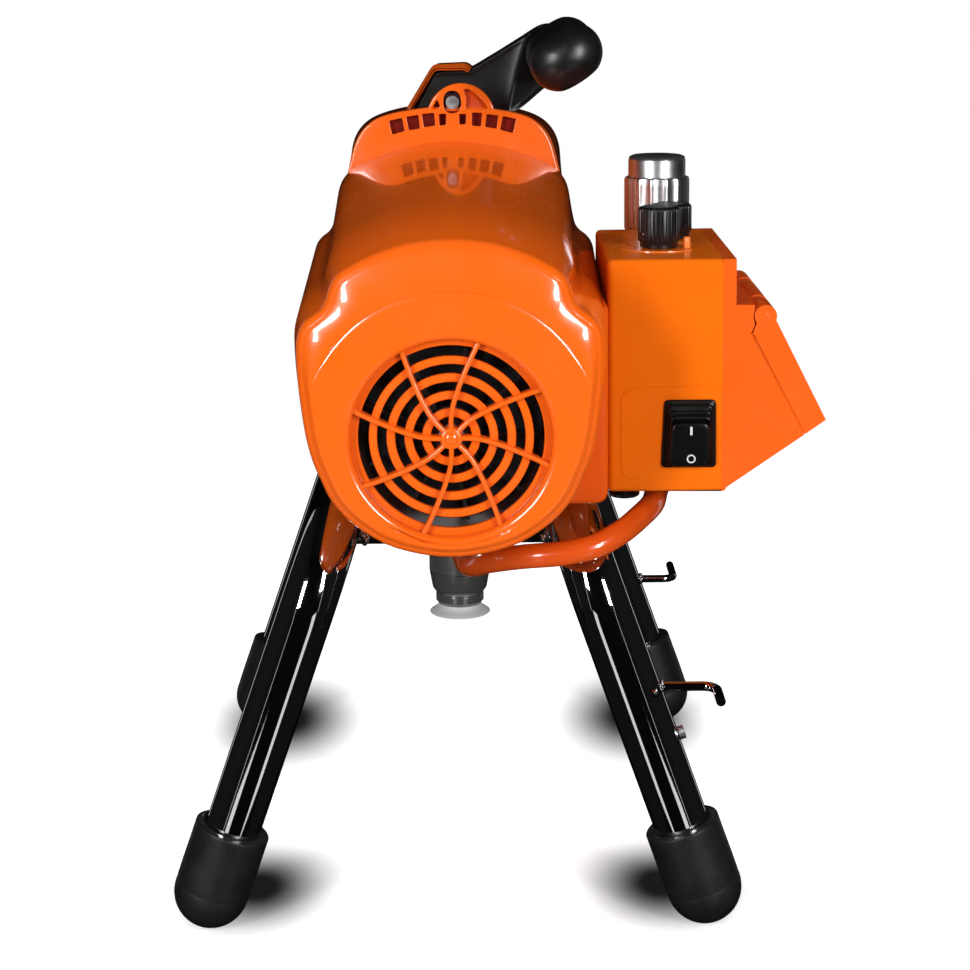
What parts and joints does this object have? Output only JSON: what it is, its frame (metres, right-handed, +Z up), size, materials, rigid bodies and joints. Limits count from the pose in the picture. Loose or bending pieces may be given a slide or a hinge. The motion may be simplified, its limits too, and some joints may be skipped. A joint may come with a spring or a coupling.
{
  "type": "airless paint sprayer",
  "caption": "Stand-mounted electric airless paint sprayer: shrouded motor, piston pump, control box with flap, filter bowl, carry handle and four-legged chrome stand.",
  "frame": {"origin": "on the floor, under the middle of the machine's outer box", "axes": "+Z up; +Y from the motor end to the pump end, along the motor axis; +X to the control box side"},
  "size_m": [0.327, 0.3854, 0.4528],
  "materials": {
    "chrome_tube": "mirror chrome plating",
    "black_rubber": "satin moulded rubber",
    "plated_steel": "bright zinc plate",
    "orange_plastic": "high gloss moulded plastic",
    "black_plastic": "satin moulded plastic",
    "fluted_black": "satin fluted plastic",
    "cast_aluminium": "die cast",
    "dark_steel": "phosphated",
    "copper_wire": "enamelled wire",
    "ground_steel": "ground",
    "stainless": "turned",
    "brass": "turned",
    "pale_plastic": "semi-gloss",
    "orange_hose": "smooth jacket",
    "bright_bowl": "turned and plated",
    "dark_glass": "tinted window",
    "circuit_board": "lacquered board"
  },
  "bodies": {
    "machine": {"stand_left": "chrome_tube", "stand_right": "chrome_tube", "cross_members": "chrome_tube", "rubber_boots": "black_rubber", "rod_hooks": "chrome_tube", "machine_screws": "plated_steel", "motor_shroud": "orange_plastic", "fan_grille": "orange_plastic", "motor_end_bells": "cast_aluminium", "motor_can": "dark_steel", "motor_bearings": "plated_steel", "stator_core": "dark_steel", "stator_windings": "copper_wire", "gear_case": "cast_aluminium", "yoke_case": "cast_aluminium", "crank_bearings": "plated_steel", "pump_cylinder": "stainless", "rod_packing": "brass", "jam_nut": "dark_steel", "inlet_valve": "stainless", "inlet_cap": "pale_plastic", "hose_fittings": "plated_steel", "fluid_hose": "orange_hose", "filter_block": "cast_aluminium", "block_bracket": "cast_aluminium", "filter_bowl": "bright_bowl", "filter_element": "pale_plastic", "prime_valve": "brass", "block_fittings": "plated_steel", "upper_housing": "orange_plastic", "handle_hood": "orange_plastic", "front_cover": "orange_plastic", "side_cheek": "orange_plastic", "carry_handle": "black_plastic", "control_box": "orange_plastic", "side_cover": "orange_plastic", "hinge_pin": "plated_steel", "display_panel": "dark_glass", "control_board": "circuit_board", "control_pots": "brass", "switch_frame": "black_plastic", "cable_gland": "black_plastic"},
    "rotor": {"rotor_core": "dark_steel", "rotor_shaft": "ground_steel", "cooling_fan": "black_plastic"},
    "crank": {"crank_shaft": "ground_steel", "crank_gear": "ground_steel"},
    "roller": {"crank_roller": "ground_steel"},
    "pump_rod": {"scotch_yoke": "ground_steel", "piston_rod": "stainless", "piston": "brass"},
    "suction_ball": {"inlet_ball": "plated_steel"},
    "pressure_control": {"pressure_knob": "fluted_black"},
    "mode_control": {"mode_knob": "fluted_black"},
    "flap": {"display_flap": "orange_plastic"},
    "rocker": {"switch_rocker": "black_plastic"},
    "prime": {"prime_lever": "black_plastic"},
    "key_a": {"key_1": "black_plastic"},
    "key_b": {"key_2": "black_plastic"},
    "key_c": {"key_3": "black_plastic"}
  },
  "joints": [
    {"name": "crank_spin", "type": "hinge", "parent": "machine", "child": "crank", "pos_m": [-0.02017, 0.0793, 0.315], "axis": [0, 1, 0], "continuous": true},
    {"name": "rotor_spin", "type": "hinge", "parent": "machine", "child": "rotor", "pos_m": [-0.02017, -0.0907, 0.261], "axis": [0, 1, 0], "continuous": true},
    {"name": "roller_spin", "type": "hinge", "parent": "crank", "child": "roller", "pos_m": [-0.01217, 0.0993, 0.315], "axis": [0, 1, 0], "continuous": true},
    {"name": "rod_stroke", "type": "slide", "parent": "machine", "child": "pump_rod", "axis": [0, 0, 1], "range_m": [-0.008, 0.008]},
    {"name": "suction_ball_lift", "type": "slide", "parent": "machine", "child": "suction_ball", "axis": [0, 0, 1], "range_m": [0, 0.0025]},
    {"name": "pressure_knob_turn", "type": "hinge", "parent": "machine", "child": "pressure_control", "pos_m": [0.08433, -0.0857, 0.345], "axis": [0, 0, 1], "range_deg": [-135, 135]},
    {"name": "mode_knob_turn", "type": "hinge", "parent": "machine", "child": "mode_control", "pos_m": [0.09383, -0.0472, 0.345], "axis": [0, 0, 1], "range_deg": [0, 90]},
    {"name": "flap_hinge", "type": "hinge", "parent": "machine", "child": "flap", "pos_m": [0.13333, -0.0707, 0.3076], "axis": [0, -1, 0], "range_deg": [0, 115]},
    {"name": "power_rocker", "type": "hinge", "parent": "machine", "child": "rocker", "pos_m": [0.09703, -0.1277, 0.2478], "axis": [-1, 0, 0], "range_deg": [0, 12]},
    {"name": "prime_lever_turn", "type": "hinge", "parent": "machine", "child": "prime", "pos_m": [0.09283, 0.0493, 0.276], "axis": [0, 1, 0], "range_deg": [0, 90]},
    {"name": "key_1_press", "type": "slide", "parent": "machine", "child": "key_a", "axis": [-0.8846, 0, -0.4664], "range_m": [0, 0.0012], "stiffness_N_per_m": 900},
    {"name": "key_2_press", "type": "slide", "parent": "machine", "child": "key_b", "axis": [-0.8846, 0, -0.4664], "range_m": [0, 0.0012], "stiffness_N_per_m": 900},
    {"name": "key_3_press", "type": "slide", "parent": "machine", "child": "key_c", "axis": [-0.8846, 0, -0.4664], "range_m": [0, 0.0012], "stiffness_N_per_m": 900}
  ],
  "couplings": [
    {"joint": "rotor_spin", "follows": "crank_spin", "ratio": -5}
  ]
}
